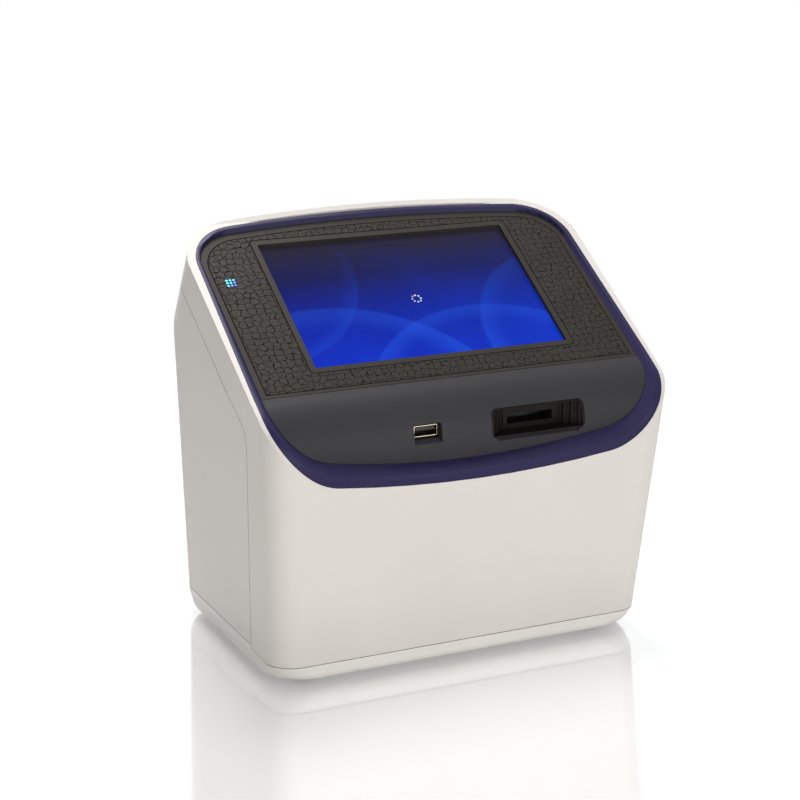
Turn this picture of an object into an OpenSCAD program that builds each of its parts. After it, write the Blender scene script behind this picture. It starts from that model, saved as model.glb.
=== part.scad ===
// Automated cell counter: a bench instrument with a leaning touch screen,
// a slide port on the front and a vertical microscope inside.
// X runs to the right seen from the front, Y to the back, Z up from the table.

/* [Housing] */
// Greatest width, at the upright upper part of the side walls
body_w = 229; // [205:0.5:250]
// Depth of the underside, front to back
base_d = 141; // [128:0.5:165]
// Height of the fold, where the front wall would meet the display face
fold_z = 136; // [130:0.5:150]
// Length of the display face, from that fold to the crest
face_len = 164.4; // [155:0.2:175]
// Slope of the display face from the horizontal
face_tilt = 31.8; // [28:0.1:36]
// Forward lean of the front wall
front_lean = 7.35; // [3:0.05:9]
// Forward lean of the rear wall
rear_lean = 3.3; // [0:0.1:5]
// Outward draft of the side walls
side_draft = 2.75; // [0.5:0.05:4]
// Height above which the side walls stand upright
upright_z = 150; // [140:1:160]
// Wall thickness of the mouldings
wall = 3; // [2.4:0.1:3.6]
// Radius of the fold
fold_r = 34; // [28:0.5:38]
// Radius of the upright corners
corner_r = 16; // [12:0.5:22]
// Radius of the top corners of the display face
top_r = 33; // [28:0.5:40]
// Radius of the crown along the top edge
crown_r = 800; // [500:10:2000]
// Radius of the bottom edge at the front
base_r = 5; // [3.5:0.5:8]
// Radius of the bottom edges at the sides
flank_r = 14; // [8:0.5:16]
// Radius of the bottom edge at the back
heel_r = 14; // [6:0.5:16]
// Radius of the rear shoulder
shoulder_r = 25; // [15:1:30]
// Top of the base tray at the front
tray_z = 12.5; // [11:0.5:16]
// Step up of the tray's edge under the rear shell
tray_step = 3; // [1:0.5:5]
// Distance of the side seam behind the front wall
seam_back = 33; // [25:0.5:45]
// Distance of the side seam under the display face
seam_under = 20; // [16:0.5:26]
// Bend radius of the side seam
seam_r = 16; // [8:1:24]
// Width of the seams
seam_gap = 0.35; // [0.2:0.05:0.8]

/* [Display face] */
// Distance of the display face's lower edge from the fold
face_start = 32.9; // [28:0.1:38]
// Distance of the trim ring inside the side walls, at the face's lower edge
ring_side = 2.6; // [1.8:0.1:6]
// How much further inside it lies at its top corners
ring_taper = 2; // [0:0.1:4]
// Gap between the trim ring's top and the crest
ring_crest = 3.9; // [3:0.1:8]
// Distance of the ring's lowest point below the face's lower edge
ring_drop = 53.8; // [50:0.1:58]
// Radius of the ring's top corners
ring_top_r = 29; // [26:0.5:34]
// Radius of the ring's bottom corners
ring_low_r = 39; // [34:0.5:46]
// Width of the ring's lip along the sides and the top
lip = 2.3; // [1.4:0.1:2.6]
// Width of the ring's lip along the bottom
lip_low = 4.4; // [3:0.1:6]
// Distance of the panels inside the ring, at the face's lower edge
panel_side = 4.9; // [4:0.1:7]
// The same at the top corners
panel_top_side = 3.5; // [3:0.1:5]
// The same along the top
panel_top = 3.6; // [3:0.1:6]
// The same along the bottom
panel_low = 11.6; // [8:0.1:14]
// Radius of the panels' top corners
panel_top_r = 22.5; // [20:0.5:26]
// Radius of the panels' bottom corners
panel_low_r = 32.6; // [28:0.5:38]
// Depth of the display bezel below the display face
bezel_sink = 2.5; // [1.5:0.1:4]
// Depth of the lower panel's foot below the front wall
panel_sink = 8.5; // [5:0.1:10]
// Fold radius of the lower panel
panel_r = 31; // [26:0.5:34]
// Thickness of the bezel and the lower panel
panel_t = 2.4; // [1.8:0.1:3]
// Lit width of the screen
screen_w = 144.2; // [130:0.1:150]
// Lit height of the screen
screen_h = 92.5; // [85:0.1:95]
// Distance of the lit area above the face's lower edge
screen_up = 17.1; // [15:0.1:20]
// Thickness of the touch glass
glass_t = 1.8; // [1:0.1:2.5]
// Thickness of the screen module
lcd_t = 5.2; // [3:0.1:6]

/* [Ports] */
// Centre of the slide port across the panel
port_x = 38; // [32:0.5:40]
// Distance of the slide port's centre under the fold
port_under = 7.1; // [6:0.1:7.6]
// Width of the slide port's recess
port_w = 54.2; // [48:0.2:55]
// Height of the slide port's recess
port_h = 15.2; // [13:0.2:15.6]
// Depth of the slide port's recess behind the panel
port_deep = 10; // [8:0.5:12]
// Width of the slide itself
slide_w = 25; // [24:0.5:26]
// Distance of the slide's underside under the port's centre
slide_under = 3.1; // [2:0.1:3.4]
// Centre of the front USB socket across the panel
usb_x = -25; // [-40:0.5:-20]
// Distance of the front USB socket under the fold
usb_under = 6.6; // [4:0.1:8]
// Depth of the socket's mouth behind the panel
usb_deep = 3.2; // [2.2:0.1:4]
// Outer width of a USB socket's shell
usb_w = 13.1; // [13:0.1:14]
// Outer height of a USB socket's shell
usb_h = 5.7; // [5.5:0.1:6.5]

/* [Optics] */
// Distance of the optical axis behind the slide port
axis_back = 17; // [16:0.5:20]
// Radius of the objective barrel
barrel_r = 9; // [7:0.5:10]
// Radius of the camera tube
tube_r = 11; // [9:0.5:12]
// Focus travel each way
focus_travel = 2; // [1:0.1:2.4]
// Radius of the lead screw
screw_r = 2.5; // [2:0.1:3]
// Radius of the guide rods
rod_r = 2; // [1.5:0.1:2.5]
// Distance of the guide rods from the lead screw
rod_gap = 13; // [11:0.5:14]
// Side of the square focus motor
motor_w = 28; // [24:0.5:30]

/* [Feet and rear] */
// Height of the tray above the table
foot_h = 3; // [2:0.5:5]
// Radius of the feet
foot_r = 7; // [5:0.5:9]
// Distance of the feet inside the side walls
foot_in = 30.5; // [29:0.5:45]
// Distance between the front and rear feet
foot_pitch = 96; // [80:1:104]
// Height of the main board
board_z = 20; // [16:0.5:22]
// Distance of the main board inside the left wall
board_in = 18.5; // [17:0.5:24]
// Radius of the power inlet's bore
inlet_r = 2.9; // [2.6:0.1:3.2]
// Swing of the power rocker, end to end
rocker_swing = 18; // [12:1:20]

/* [Hidden] */
$fn = 96;
far = 400;
// Clearances: loose fits, running fits and the gap that keeps coplanar cuts apart
loose = 0.25;
running = 0.06;
eps = 0.01;
hair = 0.01;
// Where two forms share a wall, one lies this far outside the other
skew = 0.03;

// A line in the Y-Z section is [outward normal, distance]; inward() moves it into the body
function meet(a, b) =
    let (d = a[0].x * b[0].y - a[0].y * b[0].x)
    [(a[1] * b[0].y - b[1] * a[0].y) / d, (a[0].x * b[1] - b[0].x * a[1]) / d];
function inward(l, e) = [l[0], l[1] - e];
function through(n, p) = [n, n * p];
function corner(p, r, e = 0) = [p.x, p.y, r - e >= 1 ? r - e : 0];

front_n = [-cos(front_lean), -sin(front_lean)];
rear_n = [cos(rear_lean), sin(rear_lean)];
face_n = [-sin(face_tilt), cos(face_tilt)];
face_u = [cos(face_tilt), sin(face_tilt)];

// The section is shifted so that the origin lies halfway between its foremost and rearmost points
fold_raw = [-fold_z * tan(front_lean), fold_z];
fold_mid = meet(inward(through(front_n, fold_raw), fold_r), inward(through(face_n, fold_raw), fold_r));
heel_mid = meet(inward(through(rear_n, [base_d, 0]), heel_r), [[0, -1], -foot_h - heel_r]);
y_shift = -(fold_mid.x - fold_r + heel_mid.x + heel_r) / 2;
fold_p = fold_raw + [y_shift, 0];

front_l = through(front_n, fold_p);
rear_l = through(rear_n, [base_d + y_shift, 0]);
face_l = through(face_n, fold_p);
crest_l = through(face_u, fold_p + face_len * face_u);
under_l = [[0, -1], -foot_h];
side_n = [cos(side_draft), -sin(side_draft)];
side_l = through(side_n, [body_w / 2, upright_z]);
upright_l = [[1, 0], body_w / 2];

// Display face frame: origin in the middle of its lower edge
face_p = fold_p + face_start * face_u;
face_top = face_len - face_start;
// The lower outlines are drawn square to a view between the face and the front wall
view_tilt = 55;

function front_y(z, e = 0) = (front_l[1] - e - front_n.y * z) / front_n.x;
function rear_y(z, e = 0) = (rear_l[1] - e - rear_n.y * z) / rear_n.x;
function side_x(z, e = 0) = (side_l[1] - e - side_n.y * min(z, upright_z)) / side_n.x;
// Surface of the lower panel at height z, on the fold's arc or on the flat under it
panel_mid = meet(inward(face_l, bezel_sink + panel_r), inward(front_l, panel_sink + panel_r));
function panel_y(z) = z < panel_mid.y + panel_r * front_n.y
    ? front_y(z, panel_sink) : panel_mid.x - sqrt(pow(panel_r, 2) - pow(z - panel_mid.y, 2));

module along_x(len = far) { rotate([90, 0, 90]) linear_extrude(len, center = true) children(); }
module along_y(len = far) { rotate([90, 0, 0]) linear_extrude(len, center = true) children(); }
module in_face() { translate([0, face_p.x, face_p.y]) rotate([face_tilt, 0, 0]) children(); }
module in_view() { translate([0, face_p.x, face_p.y]) rotate([view_tilt, 0, 0]) children(); }
// Box given by its low and high corners
module box(a, b) { translate(a) cube(b - a); }
module rod(p, r, len) { translate(p) cylinder(r = r, h = len); }
module round_box(size, r, len) {
    linear_extrude(len) union() {
        square([size.x - 2 * r, size.y], center = true);
        square([size.x, size.y - 2 * r], center = true);
        for (x = [-1, 1], y = [-1, 1])
            translate([x * (size.x / 2 - r), y * (size.y / 2 - r)]) circle(r);
    }
}

// Convex polygon with rounded corners, each given as [x, y, radius]. Each corner is cut to its
// chord and a sector of a circle is put back, a hair larger so that it crosses both sides cleanly.
module soft_polygon(corners) {
    n = len(corners);
    p = [for (c = corners) [c.x, c.y]];
    r = [for (c = corners) c[2]];
    u = [for (i = [0:n - 1]) let (d = p[(i + 1) % n] - p[i]) d / norm(d)];
    half = [for (i = [0:n - 1]) (180 - acos(u[(i + n - 1) % n] * u[i])) / 2];
    a = [for (i = [0:n - 1]) p[i] - r[i] / tan(half[i]) * u[(i + n - 1) % n]];
    b = [for (i = [0:n - 1]) p[i] + r[i] / tan(half[i]) * u[i]];
    polygon([for (i = [0:n - 1]) each r[i] > 0 ? [a[i], b[i]] : [p[i]]]);
    for (i = [0:n - 1])
        if (r[i] > 0)
            let (d = u[i] - u[(i + n - 1) % n], m = p[i] + d / norm(d) * r[i] / sin(half[i]),
                sa = a[i] - 0.2 * r[i] * u[(i + n - 1) % n], sb = b[i] + 0.2 * r[i] * u[i])
            intersection() {
                translate(m) circle(r[i] + hair);
                polygon([m, 2 * sa - m, 2 * p[i] - m, 2 * sb - m]);
            }
}

// ---- Outer form of the housing, moved inwards by e ----

module side_form(e) {
    along_x() soft_polygon([
        corner(meet(inward(under_l, e), inward(front_l, e)), base_r, e),
        corner(meet(inward(under_l, e), inward(rear_l, e)), heel_r, e),
        corner(meet(inward(crest_l, e - 1.5), inward(rear_l, e)), shoulder_r, e),
        corner(meet(inward(crest_l, e - 1.5), inward(face_l, e)), 1),
        corner(meet(inward(face_l, e), inward(front_l, e)), fold_r, e)]);
}

module width_form(e) {
    low = meet(inward(under_l, e - skew), inward(side_l, e));
    mid = meet(inward(side_l, e), inward(upright_l, e));
    along_y() soft_polygon([
        corner([-low.x, low.y], flank_r, e), corner(low, flank_r, e), corner(mid, 100, e),
        [mid.x, far, 0], [-mid.x, far, 0], corner([-mid.x, mid.y], 100, e)]);
}

// Prism that rounds the upright edge between a side wall and the wall of line l
module edge_form(e, sx, l) {
    n1 = [sx * side_n.x, 0, side_n.y];
    n2 = [0, l[0].x, l[0].y];
    w = cross(n1, n2) / norm(cross(n1, n2));
    v = cross(w, n1);
    a = [[1, 0], side_l[1] - e + skew];
    b = [[n2 * n1, n2 * v], l[1] - e + skew];
    c = meet(a, b);
    t = meet(b, [[-1, 0], far]);
    multmatrix([[n1.x, v.x, w.x, 0], [n1.y, v.y, w.y, 0], [n1.z, v.z, w.z, 0], [0, 0, 0, 1]])
        linear_extrude(far * 2, center = true)
            soft_polygon(b[0].y > 0
                ? [[c.x, -far, 0], corner(c, corner_r, e), [t.x, t.y, 0], [-far, -far, 0]]
                : [[-far, far, 0], [t.x, t.y, 0], corner(c, corner_r, e), [c.x, far, 0]]);
}

module crown_form(e) {
    h = body_w / 2 - e + 0.1;
    r = top_r - e;
    top = face_top - e;
    cx = h - r;
    cy = top - crown_r + e + sqrt(pow(crown_r - e - r, 2) - cx * cx);
    in_face() linear_extrude(far * 2, center = true) {
        intersection() {
            translate([0, top - crown_r + e]) circle(crown_r - e, $fn = 200);
            translate([-cx, cy - far]) square([2 * cx, 2 * far]);
        }
        translate([-h, cy - far]) square([2 * h, far]);
        for (s = [-1, 1]) translate([s * cx, cy]) circle(r + hair);
    }
}

module skin(e) {
    intersection() {
        side_form(e);
        width_form(e);
        edge_form(e, 1, front_l);
        edge_form(e, -1, front_l);
        edge_form(e, 1, rear_l);
        edge_form(e, -1, rear_l);
        crown_form(e);
    }
}

// Region behind the side seam, grown by g
module rear_zone(g) {
    back = inward(front_l, seam_back - g);
    under = inward(face_l, seam_under - g);
    s = meet(back, under);
    low = meet(back, [[0, -1], far]);
    top = meet(under, [[1, 0], far]);
    along_x() soft_polygon([
        [low.x, low.y, 0], [far, -far, 0], [top.x, top.y, 0], corner(s, seam_r)]);
}

// Region of the base tray, grown by g
module tray_zone(g) {
    box([-far, -far, -1], [far, far, tray_z + g]);
    intersection() {
        box([-far, -far, -1], [far, far, tray_z + tray_step + g]);
        rear_zone(g);
    }
}

// ---- Outlines on the display face ----

// An outline is [half width low, half width high, gap to the crest, top corner radius,
// drop of its lowest point, bottom corner radius, radius of its lower crown]
ring_half = side_x(face_p.y) - ring_side;
ring_outline = [ring_half, ring_half - ring_taper, ring_crest, ring_top_r, ring_drop, ring_low_r, 800];
panel_outline = [ring_half - panel_side, ring_half - ring_taper - panel_top_side, ring_crest + panel_top,
    panel_top_r, ring_drop - panel_low, panel_low_r, 600];
// The same outline narrowed by e, and by low along the bottom
function narrowed(o, e, low) = [o[0] - e, o[1] - e, o[2] + e, o[3] - e, o[4] - low, o[5] - (e + low) / 2, o[6]];

// Points of a shallow crown from x = -cx to cx through the top at y
function crown(cx, y, r, n = 8) =
    let (a = asin(cx / r)) [for (i = [0:n]) let (t = -a + 2 * a * i / n) [r * sin(t), y - r + r * cos(t)]];

// Sides and top corners of an outline, above the face's lower edge
module upper_outline(o) {
    h = o[1];
    r = o[3];
    y = face_top - o[2];
    cr = crown_r - o[2];
    cx = h - r;
    cy = y - cr + sqrt(pow(cr - r, 2) - cx * cx);
    top = crown(cr * cx / (cr - r), y, cr);
    polygon(concat([[o[0], 0], [h, cy]], [for (i = [len(top) - 1:-1:0]) top[i]],
        [[-h, cy], [-o[0], 0]]));
    for (s = [-1, 1]) translate([s * cx, cy]) circle(r + hair);
}

// Sides and bottom corners of an outline, below it
module lower_outline(o) {
    h = o[0];
    r = o[5];
    cr = o[6];
    cx = h - r;
    cy = o[4] - cr + sqrt(pow(cr - r, 2) - cx * cx);
    low = crown(cr * cx / (cr - r), o[4], cr);
    mirror([0, 1]) {
        polygon(concat([[h, -60], [h, cy]], [for (i = [len(low) - 1:-1:0]) low[i]],
            [[-h, cy], [-h, -60]]));
        for (s = [-1, 1]) translate([s * cx, cy]) circle(r + hair);
    }
}

// Prism through the face with a given outline
module opening(o) {
    in_face() linear_extrude(80, center = true) upper_outline(o);
    intersection() {
        in_view() linear_extrude(90, center = true) lower_outline(o);
        in_face() translate([-far / 2, -far, -far / 2]) cube([far, far, far]);
    }
}

// Everything under the display face and behind the front wall, sunk by their depths
module under_face(face_e, wall_e, r) {
    f = inward(face_l, face_e);
    w = inward(front_l, wall_e);
    low = meet(w, [[0, -1], 0]);
    top = meet(f, [[1, 0], far]);
    along_x() soft_polygon([[low.x, low.y, 0], [far, low.y, 0], [top.x, top.y, 0], corner(meet(f, w), r)]);
}

// ---- Mouldings ----

// Places that several pieces share: the slide port's floor and back, the optical axis, the
// optics frame, the plate behind the rear ports, the main board and the feet
port_z = fold_z - port_under;
usb_z = fold_z - usb_under;
port_floor = panel_y(port_z) + port_deep;
port_back = port_floor + 10;
axis_y = port_back + axis_back;
frame_y = [port_back, axis_y + 55];
frame_x = slide_w / 2 + 9.5;
frame_foot_z = 14;
frame_feet = [for (x = [-1, 1], y = [frame_y[0] + 4, frame_y[1] - 4]) [port_x + x * (frame_x - 2), y]];
rear_c = [-44, 33];
rear_size = [88, 30];
plate_size = rear_size + [6, 6];
plate_y = rear_y(rear_c.y + plate_size.y / 2, wall) - 2.4;
board_lo = [-body_w / 2 + board_in, frame_y[0] + 2];
board_hi = [port_x - frame_x - 12, plate_y - 2];
foot_x = body_w / 2 - foot_in;
feet_y = [-foot_pitch / 2 + 6, foot_pitch / 2 + 6];

module board_posts() {
    for (x = [board_lo.x + 5, board_hi.x - 5], y = [board_lo.y + 5, board_hi.y - 9]) translate([x, y]) children();
}

module base_tray() {
    color("gainsboro") difference() {
        union() {
            difference() {
                union() {
                    intersection() { skin(0); tray_zone(-seam_gap / 2); }
                    intersection() { skin(wall / 2); tray_zone(3); }
                }
                skin(wall);
            }
            board_posts() rod([0, 0, foot_h + wall - eps], 3.5, board_z - foot_h - wall + eps);
            for (p = frame_feet) rod([p.x, p.y, foot_h + wall - eps], 5, frame_foot_z - foot_h - wall + eps);
        }
        for (x = [-1, 1], y = feet_y) rod([x * foot_x, y, 0], foot_r + loose, foot_h + 1);
    }
}

module front_shell() {
    color("whitesmoke") difference() {
        skin(0);
        skin(wall);
        rear_zone(seam_gap / 2);
        intersection() { skin(wall / 2 - 0.1); rear_zone(3.2); }
        tray_zone(seam_gap / 2);
        intersection() { skin(wall / 2 - 0.1); tray_zone(3.2); }
        opening(narrowed(ring_outline, -0.2, -0.2));
    }
}

module rear_shell() {
    color("whitesmoke") difference() {
        union() {
            intersection() { skin(0); rear_zone(-seam_gap / 2); }
            intersection() { skin(wall / 2); rear_zone(3); }
        }
        skin(wall);
        tray_zone(seam_gap / 2);
        intersection() { skin(wall / 2 - 0.1); tray_zone(3.2); }
        translate([rear_c.x, plate_y + 20, rear_c.y]) rotate([90, 0, 0]) round_box(rear_size, 3, 40);
        for (i = [-5.5:5.5]) translate([i * 14, plate_y + 20, upright_z]) rotate([90, 0, 0]) round_box([5, 34], 2.4, 40);
    }
}

module trim_ring() {
    color("midnightblue") difference() {
        intersection() {
            opening(ring_outline);
            difference() {
                under_face(0.2, 0.2, fold_r);
                under_face(bezel_sink + panel_t + 1.6, panel_sink + panel_t + 2, panel_r - 4);
            }
        }
        ring_slope();
        difference() {
            opening(narrowed(panel_outline, -loose, -loose));
            under_face(bezel_sink + panel_t, panel_sink + panel_t, panel_r - panel_t);
        }
        opening(narrowed(panel_outline, 2.2, 2.2));
    }
}

// The slope from the ring's lip down to the panels, as a cutter
module ring_slope() {
    difference() {
        hull() {
            ring_slice(narrowed(ring_outline, lip - 0.5, lip_low - 0.9), -0.6, -0.6, fold_r);
            ring_slice(narrowed(ring_outline, lip, lip_low), -0.1, -0.1, fold_r);
            ring_slice(narrowed(panel_outline, -loose, -loose), bezel_sink, panel_sink, panel_r);
        }
        under_face(bezel_sink + 0.1, panel_sink + 0.1, panel_r);
    }
}
module ring_slice(o, f, w, r) {
    intersection() {
        opening(o, $fn = 32);
        difference() { under_face(f, w, r, $fn = 32); under_face(f + 0.2, w + 0.2, r, $fn = 32); }
    }
}

module display_bezel() {
    color("#4b4640") difference() {
        intersection() {
            opening(panel_outline);
            in_face() translate([-far / 2, 0.15, -bezel_sink - panel_t]) cube([far, far, panel_t]);
        }
        in_face() translate([0, screen_up + screen_h / 2, -20]) round_box([screen_w, screen_h], 0.8, 40);
        status_dots() cylinder(r = 0.7, h = 40, center = true);
    }
}

// Status dots: a square of nine, beside the screen
dots_p = [11 - panel_outline[1], screen_up + 66];
module status_dots() {
    in_face() for (i = [-1:1], j = [-1:1])
        translate([dots_p.x + 1.95 * i, dots_p.y + 1.95 * j, -bezel_sink - 2]) children();
}
module status_light() {
    color("deepskyblue") {
        status_dots() translate([0, 0, 2 - panel_t - 0.5]) cylinder(r = 0.6, h = panel_t + 0.4);
        in_face() translate([dots_p.x - 3.5, dots_p.y - 3.5, -bezel_sink - panel_t - 2.4]) cube([7, 7, 2]);
    }
}

module lower_panel() {
    color("#56555a") difference() {
        union() {
            intersection() {
                opening(panel_outline);
                difference() {
                    under_face(bezel_sink, panel_sink, panel_r);
                    under_face(bezel_sink + panel_t, panel_sink + panel_t, panel_r - panel_t);
                }
                in_face() translate([-far / 2, -far - 0.15, -far / 2]) cube([far, far, far]);
            }
            intersection() {
                under_face(bezel_sink + 1, panel_sink + 1, panel_r - 1);
                translate([usb_x, usb_mouth + 4.4, usb_z]) rotate([90, 0, 0])
                    round_box([usb_w + 6, usb_h + 8], 2.2, 40);
            }
        }
        translate([usb_x, usb_mouth + 2.6, usb_z]) rotate([90, 0, 0]) round_box([usb_w + 2.4, usb_h + 2.4], 0.9, 40);
        translate([usb_x, usb_mouth + 20, usb_z]) rotate([90, 0, 0]) round_box([usb_w + 0.4, usb_h + 0.4], 0.5, 40);
        sill(usb_x, usb_w + 2.4, usb_z - usb_h / 2 - 1.2, usb_deep);
        translate([port_x, 0, port_z]) rotate([90, 0, 0]) round_box([port_w, port_h], port_r, 120);
        sill(port_x, port_w - 2 * port_r, port_z - port_h / 2, panel_t);
    }
}

// Cutter for the sloping sill of a recess whose lower edge is at height z
module sill(x, w, z, deep) {
    y = panel_y(z);
    translate([x, 0, 0]) along_x(w) polygon([[y + deep - 0.2, z + 0.2], [y - 1, z - 2.2], [y - 8, z - 2.2], [y - 8, z + 0.2]]);
}

// ---- Front USB socket ----
usb_mouth = panel_y(usb_z) + usb_deep;
module usb_shell(p, len) {
    translate(p) rotate([-90, 0, 0]) difference() {
        round_box([usb_w, usb_h], 0.5, len);
        translate([0, 0, -1]) round_box([usb_w - 0.7, usb_h - 0.7], 0.3, len);
    }
}
module usb_tongue(p, len) {
    // The tongue hangs in the upper half of the shell and its root fills the shell's back
    box([p.x - 5.6, p.y + 1.2, p.z + 0.1], [p.x + 5.6, p.y + len - 2, p.z + 1.9]);
    box([p.x - usb_w / 2 + 0.4, p.y + len - 3, p.z - usb_h / 2 + 0.4],
        [p.x + usb_w / 2 - 0.4, p.y + len - 1.2, p.z + usb_h / 2 - 0.4]);
}
module usb_front_shell() { color("silver") usb_shell([usb_x, usb_mouth, usb_z], 14); }
module usb_front_tongue() { color("#202024") usb_tongue([usb_x, usb_mouth, usb_z], 14); }

// ---- Screen ----
glass_top = bezel_sink + panel_t + 0.1;
module touch_glass() {
    color("#101420") in_face() translate([0, screen_up + screen_h / 2, -glass_top - glass_t])
        round_box([screen_w + 14, screen_h + 12], 2, glass_t);
}
lcd_top = glass_top + glass_t + 0.05;
module lcd_panel() {
    color("#303036") in_face() translate([0, screen_up + screen_h / 2, -lcd_top - lcd_t])
        round_box([screen_w + 12, screen_h + 10], 1, lcd_t);
}

// ---- Slide port, carriage and rails ----
port_r = 3.5;
slide_z = port_z - slide_under;
slot_w = slide_w + 1.4;
slot_lo = slide_z - 0.6;
slot_hi = slide_z + 4.4;
module slide_port() {
    color("#151517") difference() {
        union() {
            intersection() {
                under_face(bezel_sink + 0.3, panel_sink + 0.3, panel_r);
                translate([port_x, port_back, port_z]) rotate([90, 0, 0])
                    round_box([port_w - 2 * loose, port_h - 2 * loose], port_r - loose, 40);
            }
            box([port_x - port_w / 2 - 4, port_back - 2, port_z - port_h / 2 - 2.5],
                [port_x + port_w / 2 + 4, port_back, port_z + port_h / 2 + 2.5]);
        }
        translate([port_x, port_floor, port_z - port_h / 2 + 1.2]) port_funnel(port_h - 2.4);
        box([port_x - slot_w / 2, port_floor - 1, slot_lo], [port_x + slot_w / 2, port_back + 1, slot_hi]);
    }
}
// Recess that narrows to the slot, with upright flutes on its sloping ends
module port_funnel(h) {
    mouth = port_w / 2 - 1.2;
    neck = slot_w / 2 + 2.4;
    run = port_deep - 1.5;
    linear_extrude(h) {
        polygon([[-mouth, -40], [mouth, -40], [mouth, -run], [neck, 0], [-neck, 0], [-mouth, -run]]);
        for (s = [-1, 1], t = [0.2:0.3:0.8])
            translate([s * (neck + t * (mouth - neck)), -t * run]) circle(r = 1.1, $fn = 48);
    }
}

deck_lo = slide_z - 8;
deck_hi = slide_z - 4;
rail_hi = slide_z + 1;
rail_x = slide_w / 2 + 4.8;
carriage_y = [port_back + 4, axis_y + 23];
module carriage_rails() {
    color("darkgray") for (s = [-1, 1])
        box([port_x + (s > 0 ? rail_x : -rail_x - 3), carriage_y[0], deck_hi],
            [port_x + (s > 0 ? rail_x + 3 : -rail_x), carriage_y[1] + 12, rail_hi]);
}
module slide_carriage() {
    pocket = slide_w / 2 + 0.4;
    color("#2a2a2e") difference() {
        union() {
            box([port_x - rail_x + 0.3, carriage_y[0], deck_hi + 1.2], [port_x + rail_x - 0.3, carriage_y[1], slide_z + 5.6]);
            box([port_x - rail_x - 3, carriage_y[0] + 5, rail_hi + 0.2], [port_x + rail_x + 3, carriage_y[1] - 8, rail_hi + 2]);
        }
        box([port_x - pocket, carriage_y[0] - 1, slide_z], [port_x + pocket, carriage_y[1] - 3, slide_z + 4.4]);
        box([port_x - pocket + 2, carriage_y[0] - 1, slide_z + 4], [port_x + pocket - 2, carriage_y[1] - 3, slide_z + 8]);
        rod([port_x, axis_y, deck_hi], 7, 8);
    }
}

// ---- Optics ----
bracket_z = 50;
module optics_frame() {
    color("#3a3c40") difference() {
        union() {
            box([port_x - frame_x - 4, frame_y[0], deck_lo], [port_x + frame_x + 4, frame_y[1], deck_hi]);
            for (s = [-1, 1])
                box([port_x + s * frame_x + (s > 0 ? 0 : -4), frame_y[0], frame_foot_z + 3],
                    [port_x + s * frame_x + (s > 0 ? 4 : 0), frame_y[1], deck_lo + eps]);
            box([port_x - frame_x - 4, frame_y[0], frame_foot_z], [port_x + frame_x + 4, frame_y[1], frame_foot_z + 3 + eps]);
            box([port_x - frame_x - eps, frame_y[0], bracket_z], [port_x + frame_x + eps, frame_y[1], bracket_z + 4]);
        }
        rod([port_x, axis_y, deck_lo - 1], barrel_r + 2, 8);
        rod([port_x, axis_y, bracket_z - 1], tube_r + 0.1, 8);
        rod([port_x, screw_y, bracket_z - 1], 7, 8);
        translate([port_x, (frame_y[0] + frame_y[1]) / 2, (bracket_z + deck_hi) / 2]) rotate([90, 0, 90])
            translate([0, 0, -60]) round_box([frame_y[1] - frame_y[0] - 24, deck_lo - bracket_z - 20], 8, 120);
        translate([port_x, (frame_y[0] + frame_y[1]) / 2, (frame_foot_z + 3 + bracket_z) / 2]) rotate([90, 0, 90])
            translate([0, 0, -60]) round_box([frame_y[1] - frame_y[0] - 24, 20], 6, 120);
        for (p = frame_feet) rod([p.x, p.y, frame_foot_z - 1], 1.7, 6);
    }
}

screw_y = axis_y + barrel_r + 26;
screw_lo = bracket_z - 4;
screw_hi = deck_lo - 0.3;
carriage_z = [deck_lo - 22, deck_lo - 8];
module focus_carriage() {
    color("silver") difference() {
        union() {
            box([port_x - rod_gap - 5, screw_y - 6, carriage_z[0]], [port_x + rod_gap + 5, screw_y + 6, carriage_z[1]]);
            box([port_x - 6, axis_y + barrel_r, carriage_z[0]], [port_x + 6, screw_y - 6 + eps, carriage_z[1]]);
            rod([port_x, axis_y, carriage_z[0]], barrel_r + 3, carriage_z[1] - carriage_z[0]);
        }
        rod([port_x, axis_y, carriage_z[0] - 1], barrel_r + 0.03, 20);
        rod([port_x, screw_y, carriage_z[0] - 1], screw_r + running, 20);
        for (s = [-1, 1]) rod([port_x + s * rod_gap, screw_y, carriage_z[0] - 1], rod_r + running, 20);
    }
}
module objective_barrel() {
    color("#26262a") difference() {
        union() {
            rod([port_x, axis_y, deck_lo - 28], barrel_r, 26);
            rod([port_x, axis_y, deck_lo - 2 - eps], barrel_r - 2.5, 4 + eps);
        }
        rod([port_x, axis_y, deck_lo - 29], barrel_r - 2.5, 25);
        rod([port_x, axis_y, deck_lo - 5], barrel_r - 4, 8);
    }
}
module objective_lens() {
    color("lightcyan") rod([port_x, axis_y, deck_lo - 1], barrel_r - 4.05, 2.8);
}
module focus_screw() {
    color("silver") {
        rod([port_x, screw_y, screw_lo], screw_r, screw_hi - screw_lo);
        rod([port_x, screw_y, bracket_z + 0.3], screw_r + 2, 6);
    }
}
module guide_rods() {
    color("silver") for (s = [-1, 1])
        rod([port_x + s * rod_gap, screw_y, bracket_z + 4], rod_r, deck_lo - bracket_z - 4);
}
module focus_motor() {
    color("#2c2c30") difference() {
        translate([port_x, screw_y, bracket_z - 28]) round_box([motor_w, motor_w], 3, 28);
        rod([port_x, screw_y, screw_lo - 0.3], screw_r + running, 10);
    }
}
module camera_tube() {
    color("#1c1c20") difference() {
        union() {
            rod([port_x, axis_y, camera_z + 1.6], tube_r, carriage_z[0] - camera_z - 12.6);
            rod([port_x, axis_y, bracket_z + 4], tube_r + 3, 3);
        }
        rod([port_x, axis_y, camera_z], tube_r - 1.5, carriage_z[0]);
    }
}
camera_z = bracket_z - 18.6;
module camera_board() {
    color("darkgreen") translate([port_x, axis_y - 0.5, camera_z]) round_box([36, 32], 1.5, 1.6);
}
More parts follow.
